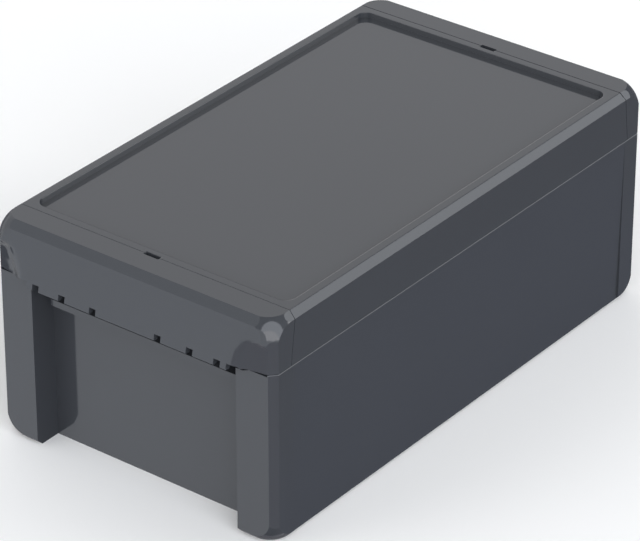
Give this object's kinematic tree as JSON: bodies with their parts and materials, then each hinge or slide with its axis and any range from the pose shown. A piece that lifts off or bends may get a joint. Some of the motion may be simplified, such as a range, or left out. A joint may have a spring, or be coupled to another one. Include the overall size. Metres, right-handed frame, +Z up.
{
  "type": "plastic project box",
  "caption": "Rectangular moulded plastic project box with a recessed lid, a seal and a hinged closure bar at each end.",
  "frame": {"origin": "centre of the underside, at the middle of the bounding box's bottom", "axes": "+X along the box's length towards the rear closure bar, +Y across its width, +Z up through the lid"},
  "size_m": [0.2308, 0.125, 0.09],
  "materials": {
    "graphite_plastic": "smooth moulded graphite grey",
    "seal_rubber": "matt black"
  },
  "bodies": {
    "base": {"base": "graphite_plastic"},
    "lid": {"lid": "graphite_plastic", "lid_gasket": "seal_rubber", "rear_closure_bar": "graphite_plastic"},
    "front_closure": {"front_closure_bar": "graphite_plastic"}
  },
  "joints": [
    {"name": "lid_hinge", "type": "hinge", "parent": "base", "child": "lid", "pos_m": [0.111, 0, 0.0726], "axis": [0, 1, 0], "range_deg": [0, 95]},
    {"name": "front_bar_hinge", "type": "hinge", "parent": "base", "child": "front_closure", "pos_m": [-0.111, 0, 0.0726], "axis": [0, -1, 0], "range_deg": [0, 95]}
  ],
  "couplings": [
    {"joint": "front_bar_hinge", "follows": "lid_hinge", "ratio": 1}
  ]
}
